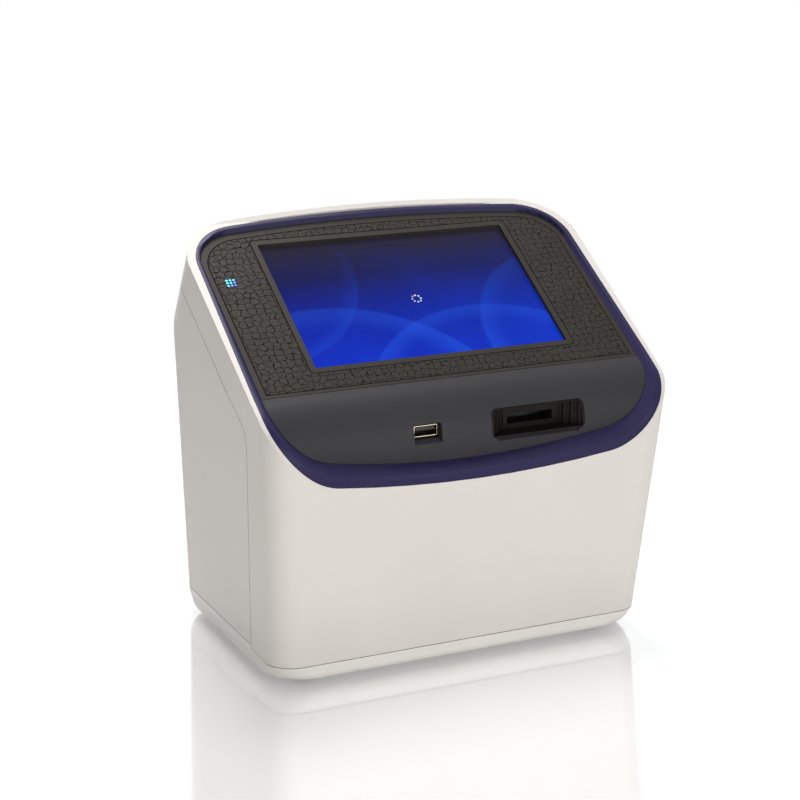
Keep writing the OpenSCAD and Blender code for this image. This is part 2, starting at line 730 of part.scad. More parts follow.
module camera_sensor() {
    color("#404048") box([port_x - 5.5, axis_y - 5.5, camera_z + 1.6], [port_x + 5.5, axis_y + 5.5, camera_z + 3.6]);
}
bridge_z = slide_z + 10;
module lamp_bridge() {
    color("#3a3c40") difference() {
        union() {
            box([port_x - frame_x - 4, axis_y - 9, bridge_z], [port_x + frame_x + 4, axis_y + 9, bridge_z + 3]);
            for (s = [-1, 1])
                box([port_x + (s > 0 ? frame_x + 0.5 : -frame_x - 4), axis_y - 9, deck_hi],
                    [port_x + (s > 0 ? frame_x + 4 : -frame_x - 0.5), axis_y + 9, bridge_z + eps]);
        }
        rod([port_x, axis_y, bridge_z - 1], 7.05, 8);
    }
}
module condenser_lens() {
    color("lightcyan") rod([port_x, axis_y, bridge_z - 0.5], 7, 3.4);
}
module lamp_housing() {
    color("#26262a") difference() {
        rod([port_x, axis_y, bridge_z + 3], 9, 4);
        rod([port_x, axis_y, bridge_z + 2], 6.5, 6);
    }
}
module lamp_board() {
    color("darkgreen") {
        translate([port_x, axis_y, bridge_z + 7]) round_box([20, 16], 1, 1.4);
        rod([port_x, axis_y, bridge_z + 5.6], 1.6, 1.5);
    }
}

// ---- Electronics and rear ports ----
chip = board_lo + [26, 36];
module main_board() {
    color("darkgreen") {
        box([board_lo.x, board_lo.y, board_z], [board_hi.x, board_hi.y, board_z + 1.6]);
        box([chip.x, chip.y, board_z + 1.6 - eps], [chip.x + 22, chip.y + 22, board_z + 3.6]);
        box([chip.x + 40, chip.y - 20, board_z + 1.6 - eps], [chip.x + 54, chip.y - 6, board_z + 3]);
        box([board_lo.x + 6, board_lo.y + 10, board_z + 1.6 - eps], [board_lo.x + 36, board_lo.y + 16, board_z + 8]);
        for (i = [0:2]) rod([board_hi.x - 14 - 12 * i, chip.y + 46, board_z + 1.6 - eps], 4, 10);
    }
}
module heat_sink() {
    color("gray") {
        box([chip.x - 1, chip.y - 1, board_z + 3.6], [chip.x + 23, chip.y + 23, board_z + 6.6]);
        for (i = [0:6])
            box([chip.x - 1 + i * 3.7, chip.y - 1, board_z + 6.6 - eps], [chip.x + 0.8 + i * 3.7, chip.y + 23, board_z + 14]);
    }
}
usb_rear = [rear_c.x - 28, plate_y + 2.4, board_z + 1.6 + usb_h / 2];
inlet = [rear_c.x - 6, board_z + 8];
rocker_c = rear_c + [24, 0];
rocker_pin = [plate_y - 6.1, rocker_c.y];
module rear_plate() {
    color("#2a2a2c") difference() {
        translate([rear_c.x, plate_y + 2, rear_c.y]) rotate([90, 0, 0]) round_box(plate_size, 3, 2);
        translate([usb_rear.x, plate_y + 9, usb_rear.z]) rotate([90, 0, 0])
            round_box([usb_w + 0.4, usb_h + 0.4], 0.5, 20);
        translate([inlet.x, plate_y + 9, inlet.y]) rotate([90, 0, 0]) cylinder(r = 4.6, h = 20);
        translate([rocker_c.x, plate_y + 9, rocker_c.y]) rotate([90, 0, 0]) round_box([15, 21.6], 1, 20);
    }
}
module usb_rear_shell() {
    color("silver") translate([0, usb_rear.y, 0]) mirror([0, 1, 0]) usb_shell([usb_rear.x, 0, usb_rear.z], 14);
}
module usb_rear_tongue() {
    color("#202024") translate([0, usb_rear.y, 0]) mirror([0, 1, 0]) usb_tongue([usb_rear.x, 0, usb_rear.z], 14);
}
module dc_inlet() {
    color("#1c1c1e") {
        difference() {
            union() {
                box([inlet.x - 4.5, plate_y - 13.6, board_z + 1.6], [inlet.x + 4.5, plate_y - 0.3, inlet.y + 5.5]);
                translate([inlet.x, plate_y + 2.8, inlet.y]) rotate([90, 0, 0]) cylinder(r = 4.3, h = 6);
            }
            translate([inlet.x, plate_y + 9, inlet.y]) rotate([90, 0, 0]) cylinder(r = inlet_r, h = 20);
        }
        translate([inlet.x, plate_y + 1.8, inlet.y]) rotate([90, 0, 0]) cylinder(r = 1, h = 14);
    }
}
module rocker_frame() {
    color("#1c1c1e") difference() {
        union() {
            translate([rocker_c.x, plate_y + 3.4, rocker_c.y]) rotate([90, 0, 0]) round_box([17.6, 24], 1.5, 1.4);
            translate([rocker_c.x, plate_y + 2.1, rocker_c.y]) rotate([90, 0, 0]) round_box([14.6, 21.2], 0.8, 18);
        }
        translate([rocker_c.x, plate_y + 9, rocker_c.y]) rotate([90, 0, 0]) round_box([12, 19.2], 0.6, 23);
        translate([rocker_c.x, rocker_pin.x, rocker_pin.y]) rotate([0, 90, 0]) cylinder(r = 1.5 + running, h = 30, center = true);
    }
}
module power_rocker() {
    color("#0f0f10") translate([rocker_c.x, rocker_pin.x, rocker_pin.y]) rotate([rocker_swing / 2, 0, 0]) {
        rotate([90, 0, 90]) linear_extrude(11.4, center = true)
            polygon([[8, -8.2], [6.6, 0], [8, 8.2], [3, 8.2], [-3, 3], [-3, -3], [3, -8.2]]);
        rotate([0, 90, 0]) cylinder(r = 1.5, h = 14.4, center = true);
    }
}

// ---- Feet ----
module foot(sx, i) {
    color("#202020") {
        rod([sx * foot_x, feet_y[i], 1], foot_r, foot_h);
        rod([sx * foot_x, feet_y[i], 0], foot_r - 1, 1 + eps);
    }
}
module foot_front_left() { foot(-1, 0); }
module foot_front_right() { foot(1, 0); }
module foot_rear_left() { foot(-1, 1); }
module foot_rear_right() { foot(1, 1); }

base_tray();
front_shell();
rear_shell();
trim_ring();
display_bezel();
lower_panel();
touch_glass();
lcd_panel();
status_light();
usb_front_shell();
usb_front_tongue();
slide_port();
optics_frame();
carriage_rails();
slide_carriage();
lamp_bridge();
lamp_housing();
lamp_board();
condenser_lens();
objective_barrel();
objective_lens();
focus_carriage();
focus_screw();
focus_motor();
guide_rods();
camera_tube();
camera_board();
camera_sensor();
main_board();
heat_sink();
rear_plate();
usb_rear_shell();
usb_rear_tongue();
dc_inlet();
rocker_frame();
power_rocker();
foot_front_left();
foot_front_right();
foot_rear_left();
foot_rear_right();
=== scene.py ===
"""Looks of an automated cell counter: finishes, refined mouldings, stage, lights and camera."""

import logging
import math
from dataclasses import dataclass, field
from enum import Enum
from typing import Callable, NamedTuple, Optional, Sequence

import bmesh
import bpy
from mathutils import Matrix, Vector
from mathutils.bvhtree import BVHTree


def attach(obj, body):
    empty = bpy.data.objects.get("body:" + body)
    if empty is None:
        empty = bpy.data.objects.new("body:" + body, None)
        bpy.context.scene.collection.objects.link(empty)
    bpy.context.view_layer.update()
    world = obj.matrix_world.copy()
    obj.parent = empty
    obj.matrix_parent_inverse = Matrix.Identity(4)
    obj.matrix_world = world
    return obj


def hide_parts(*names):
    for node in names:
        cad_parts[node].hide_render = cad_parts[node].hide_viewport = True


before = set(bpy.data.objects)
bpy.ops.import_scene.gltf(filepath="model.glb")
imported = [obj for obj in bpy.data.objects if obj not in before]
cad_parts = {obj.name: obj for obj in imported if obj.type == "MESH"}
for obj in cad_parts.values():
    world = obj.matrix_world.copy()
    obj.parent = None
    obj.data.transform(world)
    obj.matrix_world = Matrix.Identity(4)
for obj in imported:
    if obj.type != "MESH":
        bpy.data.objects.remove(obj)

LOG = logging.getLogger("cell_counter")
MM = 0.001
WHITE = (1.0, 1.0, 1.0)
WELD = 3e-6
SLIVER = 2e-6
COPLANAR = math.radians(0.4)
SMOOTH_LIMIT = math.radians(40.0)
SHORTEST_EDGE = 0.2
FLAT_WEIGHT = 80
Socket = bpy.types.NodeSocket
Colour = tuple[float, float, float]


def srgb(red: float, green: float, blue: float) -> Colour:
    """Turns a colour of 0 to 255 per channel into linear light.

    Args:
        red: red channel.
        green: green channel.
        blue: blue channel.

    Returns:
        The three linear channels.
    """
    def linear(c: float) -> float:
        """One channel in linear light."""
        c /= 255.0
        return c / 12.92 if c <= 0.04045 else ((c + 0.055) / 1.055) ** 2.4
    return (linear(red), linear(green), linear(blue))


def scaled(colour: Colour, factor: float) -> Colour:
    """A colour made darker or lighter by a factor, up to full light."""
    return tuple(min(1.0, c * factor) for c in colour)


def add_object(name: str, data: bpy.types.ID) -> bpy.types.Object:
    """Makes an object of its data and links it to the scene."""
    made = bpy.data.objects.new(name, data)
    bpy.context.scene.collection.objects.link(made)
    return made


@dataclass(frozen=True)
class DisplayFace:
    """The leaning plane of the display: its lower edge's middle, and its slope."""

    edge_y: float = -52.0687
    edge_z: float = 153.3371
    tilt: float = 31.8

    def shift(self) -> Vector:
        """The translation, in millimetres, that follows a turn of minus the slope about X."""
        c, s = math.cos(math.radians(self.tilt)), math.sin(math.radians(self.tilt))
        y, z = self.edge_y, self.edge_z
        return Vector((0.0, -(y * c + z * s), -(-y * s + z * c)))


FACE = DisplayFace()


class Effect(Enum):
    """Shader effects that several finishes share."""

    GRAIN = "moulded_grain"
    TONE = "soft_tone"
    FACE = "face_coordinates"


class Tree:
    """A node tree with short calls for the nodes that a finish needs."""

    def __init__(self, tree: bpy.types.NodeTree) -> None:
        """Keeps the tree that the calls add to."""
        self.tree = tree

    def node(self, kind: str, **settings: object) -> bpy.types.Node:
        """Adds a node and gives it its settings.

        Args:
            kind: Blender's name of the node type.
            **settings: properties of the node.

        Returns:
            The new node.
        """
        made = self.tree.nodes.new(kind)
        for key, value in settings.items():
            setattr(made, key, value)
        return made

    def feed(self, socket: Socket, value: object) -> None:
        """Links a socket or sets its plain value."""
        if isinstance(value, bpy.types.NodeSocket):
            self.tree.links.new(value, socket)
        else:
            socket.default_value = value

    def math(self, operation: str, a: object, b: object = 0.0, c: object = 0.0, clamp: bool = False) -> Socket:
        """One Math node on up to three values."""
        made = self.node("ShaderNodeMath", operation=operation, use_clamp=clamp)
        for socket, value in zip(made.inputs, (a, b, c)):
            self.feed(socket, value)
        return made.outputs[0]

    def ramp(self, value: object, low: float, high: float, start: float = 0.0, end: float = 1.0) -> Socket:
        """Maps low to high smoothly onto start to end."""
        made = self.node("ShaderNodeMapRange", interpolation_type="SMOOTHSTEP")
        for socket, part in zip(made.inputs[:5], (value, low, high, start, end)):
            self.feed(socket, part)
        return made.outputs[0]

    def mix(self, factor: object, a: object, b: object) -> Socket:
        """Mixes two colours."""
        made = self.node("ShaderNodeMix", data_type="RGBA")
        self.feed(made.inputs[0], factor)
        for socket, value in ((made.inputs[6], a), (made.inputs[7], b)):
            self.feed(socket, (*value, 1.0) if isinstance(value, tuple) and len(value) == 3 else value)
        return made.outputs[2]

    def noise(self, vector: Socket, scale: object, detail: float) -> Socket:
        """The value of a noise texture."""
        made = self.node("ShaderNodeTexNoise")
        for key, value in (("Vector", vector), ("Scale", scale), ("Detail", detail)):
            self.feed(made.inputs[key], value)
        return made.outputs["Fac"]

    def split(self, vector: Socket) -> tuple[Socket, Socket, Socket]:
        """The three parts of a vector."""
        made = self.node("ShaderNodeSeparateXYZ")
        self.feed(made.inputs[0], vector)
        return made.outputs[0], made.outputs[1], made.outputs[2]

    def join(self, x: object, y: object, z: object = 0.0) -> Socket:
        """A vector of three parts."""
        made = self.node("ShaderNodeCombineXYZ")
        for socket, value in zip(made.inputs, (x, y, z)):
            self.feed(socket, value)
        return made.outputs[0]

    def length(self, x: object, y: object) -> Socket:
        """The length of a flat vector."""
        made = self.node("ShaderNodeVectorMath", operation="LENGTH")
        self.feed(made.inputs[0], self.join(x, y))
        return made.outputs["Value"]

    def place(self) -> Socket:
        """Object coordinates."""
        return self.node("ShaderNodeTexCoord").outputs["Object"]

    def bump(self, height: Socket, depth: float) -> Socket:
        """A normal from a height in units of depth, in metres."""
        made = self.node("ShaderNodeBump")
        for key, value in (("Height", height), ("Distance", depth), ("Strength", 1.0)):
            self.feed(made.inputs[key], value)
        return made.outputs["Normal"]

    def seen(self) -> Socket:
        """One for a ray from the camera, a mirror or a clear body, nought for a ray that lights."""
        path = self.node("ShaderNodeLightPath")
        return self.math("MAXIMUM", path.outputs["Is Camera Ray"], self.math(
            "MAXIMUM", path.outputs["Is Glossy Ray"], path.outputs["Is Transmission Ray"]))

    def blend(self, factor: object, a: Socket, b: Socket) -> Socket:
        """Mixes two shaders."""
        made = self.node("ShaderNodeMixShader")
        for socket, value in zip(made.inputs, (factor, a, b)):
            self.feed(socket, value)
        return made.outputs[0]

    def glow(self, colour: Colour, strength: float, kind: str = "ShaderNodeEmission") -> Socket:
        """A shader that gives light of its own: an emission, or a background of the world."""
        made = self.node(kind)
        made.inputs["Color"].default_value = (*colour, 1.0)
        made.inputs["Strength"].default_value = strength
        return made.outputs[0]

    def solid(self, colour: Colour, roughness: float, metallic: float = 0.0) -> Socket:
        """A plain principled shader."""
        made = self.node("ShaderNodeBsdfPrincipled")
        made.inputs["Base Color"].default_value = (*colour, 1.0)
        made.inputs["Roughness"].default_value = roughness
        made.inputs["Metallic"].default_value = metallic
        return made.outputs[0]

    def effect(self, effect: Effect, **values: object) -> bpy.types.Node:
        """Places a shared effect with its own values."""
        made = self.node("ShaderNodeGroup", node_tree=effect_group(effect))
        for key, value in values.items():
            self.feed(made.inputs[key], value)
        return made


def fresh_tree(owner: bpy.types.ID) -> Tree:
    """Gives a material or a world an empty node tree."""
    owner.use_nodes = True
    owner.node_tree.nodes.clear()
    return Tree(owner.node_tree)


def effect_group(effect: Effect) -> bpy.types.NodeTree:
    """Builds a shared effect the first time it is asked for.

    Args:
        effect: which effect.

    Returns:
        Its node group.
    """
    known = bpy.data.node_groups.get(effect.value)
    if known is not None:
        return known
    group = bpy.data.node_groups.new(effect.value, "ShaderNodeTree")
    builders: dict[Effect, Callable[[bpy.types.NodeTree], None]] = {
        Effect.GRAIN: build_grain, Effect.TONE: build_tone, Effect.FACE: build_face}
    builders[effect](group)
    return group


def sockets(group: bpy.types.NodeTree, inputs: Sequence[tuple],
            outputs: Sequence[tuple]) -> tuple[Tree, bpy.types.Node, bpy.types.Node]:
    """Gives a group its named inputs and outputs.

    Args:
        group: the node group.
        inputs: (name, kind, default) of each input.
        outputs: (name, kind) of each output.

    Returns:
        The tree, its input node and its output node.
    """
    for name, kind, default in inputs:
        made = group.interface.new_socket(name, in_out="INPUT", socket_type="NodeSocket" + kind)
        if default is not None:
            made.default_value = default
    for name, kind in outputs:
        group.interface.new_socket(name, in_out="OUTPUT", socket_type="NodeSocket" + kind)
    tree = Tree(group)
    return tree, tree.node("NodeGroupInput"), tree.node("NodeGroupOutput")


def build_grain(group: bpy.types.NodeTree) -> None:
    """Fine spark-eroded grain of a moulding: a height and a mask."""
    tree, given, out = sockets(group, [("Vector", "Vector", None), ("Scale", "Float", 2600.0)],
                               [("Height", "Float"), ("Mask", "Float")])
    vector, scale = given.outputs["Vector"], given.outputs["Scale"]
    coarse_scale, fine_share, coarse_share = 0.35, 0.6, 0.4
    fine = tree.noise(vector, scale, 2.0)
    coarse = tree.noise(vector, tree.math("MULTIPLY", scale, coarse_scale), 4.0)
    both = tree.math("ADD", tree.math("MULTIPLY", fine, fine_share), tree.math("MULTIPLY", coarse, coarse_share))
    tree.feed(out.inputs["Height"], both)
    tree.feed(out.inputs["Mask"], tree.ramp(both, 0.38, 0.62))


def build_tone(group: bpy.types.NodeTree) -> None:
    """Slow, faint changes of tone over a surface, from 0 to 1."""
    tree, given, out = sockets(group, [("Vector", "Vector", None), ("Scale", "Float", 14.0)],
                               [("Tone", "Float")])
    slow = tree.noise(given.outputs["Vector"], given.outputs["Scale"], 2.0)
    tree.feed(out.inputs["Tone"], tree.ramp(slow, 0.3, 0.7))


def build_face(group: bpy.types.NodeTree) -> None:
    """Object coordinates turned into millimetres across, up and out of the display face."""
    tree, given, out = sockets(group, [("Vector", "Vector", None)],
                               [("Across", "Float"), ("Up", "Float"), ("Out", "Float"), ("Vector", "Vector")])
    turn = tree.node("ShaderNodeMapping", vector_type="POINT")
    tree.feed(turn.inputs["Vector"], given.outputs["Vector"])
    turn.inputs["Scale"].default_value = (1.0 / MM, 1.0 / MM, 1.0 / MM)
    turn.inputs["Rotation"].default_value = (-math.radians(FACE.tilt), 0.0, 0.0)
    turn.inputs["Location"].default_value = FACE.shift()
    for name, part in zip(("Across", "Up", "Out"), tree.split(turn.outputs[0])):
        tree.feed(out.inputs[name], part)
    tree.feed(out.inputs["Vector"], turn.outputs[0])


@dataclass(frozen=True)
class Finish:
    """A plain moulded or painted finish: a colour, a gloss and a fine grain."""

    name: str
    colour: Colour
    roughness: float = 0.5
    variation: float = 0.04
    grain: float = 2600.0
    grain_depth: float = 0.00002
    metallic: float = 0.0
    coat: float = 0.0
    specular: float = 0.5
    coat_roughness: float = 0.08
    tone_scale: float = 14.0
    fleck: float = 0.6
    spread: float = 0.08

    def material(self) -> bpy.types.Material:
        """The finish's material, built once."""
        known = bpy.data.materials.get(self.name)
        if known is not None:
            return known
        made = bpy.data.materials.new(self.name)
        tree = fresh_tree(made)
        shader = tree.node("ShaderNodeBsdfPrincipled")
        shader.inputs["Metallic"].default_value = self.metallic
        shader.inputs["Roughness"].default_value = self.roughness
        shader.inputs["Coat Weight"].default_value = self.coat
        shader.inputs["Coat Roughness"].default_value = self.coat_roughness
        shader.inputs["Specular IOR Level"].default_value = self.specular
        self.dress(tree, shader)
        out = tree.node("ShaderNodeOutputMaterial")
        tree.feed(out.inputs["Surface"], shader.outputs[0])
        return made

    def dress(self, tree: Tree, shader: bpy.types.Node) -> None:
        """Adds the finish's detail to its shader.

        Args:
            tree: the material's tree.
            shader: its principled shader.
        """
        place = tree.place()
        grain = tree.effect(Effect.GRAIN, Vector=place, Scale=self.grain)
        tone = tree.effect(Effect.TONE, Vector=place, Scale=self.tone_scale)
        base = tree.mix(tone.outputs["Tone"], scaled(self.colour, 1 - self.variation),
                        scaled(self.colour, 1 + self.variation))
        speck = tree.math("MULTIPLY", grain.outputs["Mask"], self.variation)
        tree.feed(shader.inputs["Base Color"], tree.mix(speck, base, scaled(self.colour, self.fleck)))
        tree.feed(shader.inputs["Roughness"], self.gloss(tree, grain.outputs["Mask"]))
        tree.feed(shader.inputs["Normal"], tree.bump(grain.outputs["Height"], self.grain_depth))

    def gloss(self, tree: Tree, mask: Socket) -> Socket:
        """The roughness, spread evenly about its mean by a mask."""
        return tree.math("MULTIPLY_ADD", mask, self.spread, self.roughness - self.spread / 2)


@dataclass(frozen=True)
class Brushed(Finish):
    """Metal with fine lines along one axis."""

    lines: tuple[float, float, float] = (900.0, 12000.0, 900.0)
    line_depth: float = 0.000008
    fleck: float = 0.85
    spread: float = 0.12

    def dress(self, tree: Tree, shader: bpy.types.Node) -> None:
        """Adds the brushed lines."""
        turn = tree.node("ShaderNodeMapping")
        tree.feed(turn.inputs["Vector"], tree.place())
        turn.inputs["Scale"].default_value = self.lines
        lines = tree.noise(turn.outputs[0], 1.0, 2.0)
        mask = tree.ramp(lines, 0.35, 0.65)
        tree.feed(shader.inputs["Base Color"], tree.mix(mask, scaled(self.colour, self.fleck), self.colour))
        tree.feed(shader.inputs["Roughness"], self.gloss(tree, mask))
        tree.feed(shader.inputs["Normal"], tree.bump(lines, self.line_depth))


@dataclass(frozen=True)
class PrintedBezel(Finish):
    """Warm dark plastic with an irregular net of fine cuts inside border grooves, in face millimetres."""

    tone_scale: float = 30.0
    fleck: float = 0.08
    cell: float = 4.2
    fine_cell: float = 0.52
    disorder: tuple[float, float] = (0.62, 0.8)
    dash_scale: float = 900.0
    knot_scale: float = 650.0
    knot: tuple[float, float] = (0.26, 0.5)
    cut_depth: float = 0.00012
    crown: float = 1 / 1600.0
    zone_corner: float = 19.0
    screen_corner: float = 2.6
    groove: tuple[float, float] = (0.15, 0.42)
    line: tuple[float, float] = (0.03, 0.2)
    screen_centre: tuple[float, float] = (0.0, 63.35)
    screen_half: tuple[float, float] = (75.6, 49.8)
    zone_half: float = 103.6
    zone_low: float = 2.3
    zone_high: float = 119.4
    zone_foot: float = -60.0

    def cracks(self, tree: Tree, vector: Socket, cell: float, random: float) -> Socket:
        """Distance to the edges of an irregular net of cells.

        Args:
            tree: the material's tree.
            vector: place on the face in millimetres.
            cell: mean size of a cell.
            random: how irregular the net is, 0 to 1.

        Returns:
            The distance in millimetres.
        """
        made = tree.node("ShaderNodeTexVoronoi", voronoi_dimensions="2D", feature="DISTANCE_TO_EDGE")
        tree.feed(made.inputs["Vector"], vector)
        made.inputs["Scale"].default_value = 1.0 / cell
        made.inputs["Randomness"].default_value = random
        return tree.math("MULTIPLY", made.outputs["Distance"], cell)

    def border(self, tree: Tree, x: object, y: object, half: tuple[float, float], radius: float) -> Socket:
        """Signed distance to a rectangle with rounded corners, centred on the origin."""
        qx = tree.math("SUBTRACT", tree.math("ABSOLUTE", x), half[0] - radius)
        qy = tree.math("SUBTRACT", tree.math("ABSOLUTE", y), half[1] - radius)
        outside = tree.length(tree.math("MAXIMUM", qx, 0.0), tree.math("MAXIMUM", qy, 0.0))
        inside = tree.math("MINIMUM", tree.math("MAXIMUM", qx, qy), 0.0)
        return tree.math("SUBTRACT", tree.math("ADD", outside, inside), radius)

    def dress(self, tree: Tree, shader: bpy.types.Node) -> None:
        """Adds the pattern, its borders and the grain."""
        place = tree.place()
        face = tree.effect(Effect.FACE, Vector=place)
        x, y = face.outputs["Across"], face.outputs["Up"]
        crowned = tree.math("ADD", y, tree.math("MULTIPLY", tree.math("MULTIPLY", x, x), self.crown))
        high, low = self.zone_high, self.zone_foot
        zone = tree.math("MAXIMUM",
                         self.border(tree, x, tree.math("SUBTRACT", crowned, (high + low) / 2),
                                     (self.zone_half, (high - low) / 2), self.zone_corner),
                         tree.math("SUBTRACT", self.zone_low, y))
        screen = self.border(tree, tree.math("SUBTRACT", x, self.screen_centre[0]),
                             tree.math("SUBTRACT", y, self.screen_centre[1]), self.screen_half, self.screen_corner)
        groove = tree.math("MAXIMUM", *(tree.ramp(tree.math("ABSOLUTE", edge), *self.groove, 1.0, 0.0)
                                        for edge in (zone, screen)))
        within = tree.math("MULTIPLY", tree.ramp(zone, -0.2, 0.0, 1.0, 0.0), tree.ramp(screen, 0.0, 0.2))
        flat = tree.join(x, y)
        large = self.cracks(tree, flat, self.cell, self.disorder[0])
        small = self.cracks(tree, flat, self.cell * self.fine_cell, self.disorder[1])
        dash = tree.ramp(tree.noise(place, self.dash_scale, 1.0), 0.5, 0.6)
        knot = tree.ramp(tree.noise(place, self.knot_scale, 1.0), 0.56, 0.62)
        knots = tree.math("MULTIPLY", tree.ramp(large, *self.knot, 1.0, 0.0), knot)
        dashes = tree.math("MULTIPLY", tree.ramp(small, *self.line, 0.9, 0.0), dash)
        net = tree.math("MAXIMUM", tree.ramp(large, *self.line, 1.0, 0.0), knots)
        lines = tree.math("MAXIMUM", net, dashes)
        cut = tree.math("MAXIMUM", groove, tree.math("MULTIPLY", lines, within))
        grain = tree.effect(Effect.GRAIN, Vector=place, Scale=self.grain)
        tone = tree.effect(Effect.TONE, Vector=place, Scale=self.tone_scale)
        base = tree.mix(tone.outputs["Tone"], self.colour, scaled(self.colour, 1.12))
        tree.feed(shader.inputs["Base Color"], tree.mix(
            tree.math("MULTIPLY", cut, 0.95), base, scaled(self.colour, self.fleck)))
        tree.feed(shader.inputs["Roughness"], tree.math("MULTIPLY_ADD", cut, 0.5, self.roughness))
        height = tree.math("SUBTRACT", tree.math("MULTIPLY", grain.outputs["Height"], 0.08), cut)
        tree.feed(shader.inputs["Normal"], tree.bump(height, self.cut_depth))


SCREEN_STOPS = ((0.0, srgb(38, 35, 44)), (0.3, srgb(22, 24, 84)), (0.6, srgb(5, 30, 150)), (1.0, srgb(3, 38, 186)))


class Arc(NamedTuple):
    """A soft arc of light on the display, in millimetres from its middle."""

    x: float
    y: float
    radius: float
    width: float
    weight: float


SCREEN_ARCS = (Arc(-58.0, -92.0, 88.0, 16.0, 0.42), Arc(30.0, -96.0, 84.0, 12.0, 0.38),
               Arc(96.0, -40.0, 66.0, 14.0, 0.34), Arc(-96.0, 30.0, 70.0, 10.0, 0.22))


@dataclass(frozen=True)
class LitScreen(Finish):
    """Glass over a lit display: deep blue soft waves and a ring of waiting dots, in face millimetres."""

    centre: tuple[float, float] = (0.9, 63.35)
    half: tuple[float, float] = (72.1, 46.25)
    ring_centre: tuple[float, float] = (2.2, 61.0)
    ring_radius: float = 2.5
    ring_dots: int = 8
    dot: tuple[float, float] = (0.45, 0.75)
    dot_colour: Colour = (0.85, 0.88, 0.95)
    wave: Colour = srgb(36, 92, 235)
    haze: Colour = srgb(8, 62, 222)
    gleam: Colour = srgb(8, 84, 235)

    def reach(self, tree: Tree, x: Socket, y: Socket, to_x: float, to_y: float) -> Socket:
        """Distance from a place on the display to a point."""
        return tree.length(tree.math("SUBTRACT", x, to_x), tree.math("SUBTRACT", y, to_y))

    def dress(self, tree: Tree, shader: bpy.types.Node) -> None:
        """Adds the lit picture under the glass."""
        face = tree.effect(Effect.FACE, Vector=tree.place())
        x = tree.math("SUBTRACT", face.outputs["Across"], self.centre[0])
        y = tree.math("SUBTRACT", face.outputs["Up"], self.centre[1])
        rise = tree.math("MULTIPLY_ADD", y, -0.5 / self.half[1], 0.5, clamp=True)
        side = tree.math("MULTIPLY_ADD", x, 0.5 / self.half[0], 0.5, clamp=True)
        ramp = tree.node("ShaderNodeValToRGB")
        while len(ramp.color_ramp.elements) < len(SCREEN_STOPS):
            ramp.color_ramp.elements.new(0.5)
        for element, (at, colour) in zip(ramp.color_ramp.elements, SCREEN_STOPS):
            element.position, element.color = at, (*colour, 1.0)
        tree.feed(ramp.inputs[0], rise)
        glow: object = ramp.outputs[0]
        for arc in SCREEN_ARCS:
            edge = tree.math("SUBTRACT", self.reach(tree, x, y, arc.x, arc.y), arc.radius)
            inside = tree.ramp(edge, -arc.width, 0.0)
            band = tree.math("MULTIPLY", inside, tree.ramp(edge, 0.0, arc.width * 0.16, 1.0, 0.0))
            fade = tree.math("MULTIPLY", band, tree.math("MULTIPLY", rise, arc.weight))
            glow = tree.mix(fade, glow, self.wave)
        haze = tree.ramp(tree.noise(face.outputs["Vector"], 0.018, 2.0), 0.4, 0.72)
        for part, weight, colour in ((haze, 0.25, self.haze), (side, 0.18, self.gleam)):
            glow = tree.mix(tree.math("MULTIPLY", tree.math("MULTIPLY", part, rise), weight), glow, colour)
        dots: Optional[Socket] = None
        for i in range(self.ring_dots):
            turn = math.tau * i / self.ring_dots
            dx = self.ring_centre[0] - self.centre[0] + self.ring_radius * math.sin(turn)
            dy = self.ring_centre[1] - self.centre[1] + self.ring_radius * math.cos(turn)
            dot = tree.ramp(self.reach(tree, x, y, dx, dy), *self.dot, 0.95 - 0.07 * i, 0.0)
            dots = dot if dots is None else tree.math("MAXIMUM", dots, dot)
        glow = tree.mix(dots, glow, self.dot_colour)
        lit = tree.math("MULTIPLY", tree.math("LESS_THAN", tree.math("ABSOLUTE", x), self.half[0]),
                        tree.math("LESS_THAN", tree.math("ABSOLUTE", y), self.half[1]))
        tree.feed(shader.inputs["Emission Color"], tree.mix(lit, (0.0, 0.0, 0.0), glow))
        shader.inputs["Emission Strength"].default_value = 1.0
        smear = tree.noise(face.outputs["Vector"], 0.05, 4.0)
        tree.feed(shader.inputs["Roughness"], tree.ramp(smear, 0.3, 0.8, self.roughness, self.roughness + 0.08))
        shader.inputs["Base Color"].default_value = (*self.colour, 1.0)


@dataclass(frozen=True)
class Light(Finish):
    """A clear light guide of nine dots that turn from a bright to a deep blue over the face."""

    bright: Colour = (0.05, 0.75, 1.0)
    deep: Colour = (0.03, 0.10, 0.95)
    centre: tuple[float, float] = (-95.4, 83.1)
    turn: tuple[float, float] = (-3.0, 3.6)
    strength: float = 1.6

    def dress(self, tree: Tree, shader: bpy.types.Node) -> None:
        """Adds the glow and its change of colour over the nine dots."""
        face = tree.effect(Effect.FACE, Vector=tree.place())
        across = tree.math("SUBTRACT", face.outputs["Across"], self.centre[0])
        up = tree.math("SUBTRACT", face.outputs["Up"], self.centre[1])
        slope = tree.ramp(tree.math("SUBTRACT", across, up), *self.turn)
        shader.inputs["Emission Strength"].default_value = self.strength
        for name in ("Emission Color", "Base Color"):
            tree.feed(shader.inputs[name], tree.mix(slope, self.bright, self.deep))


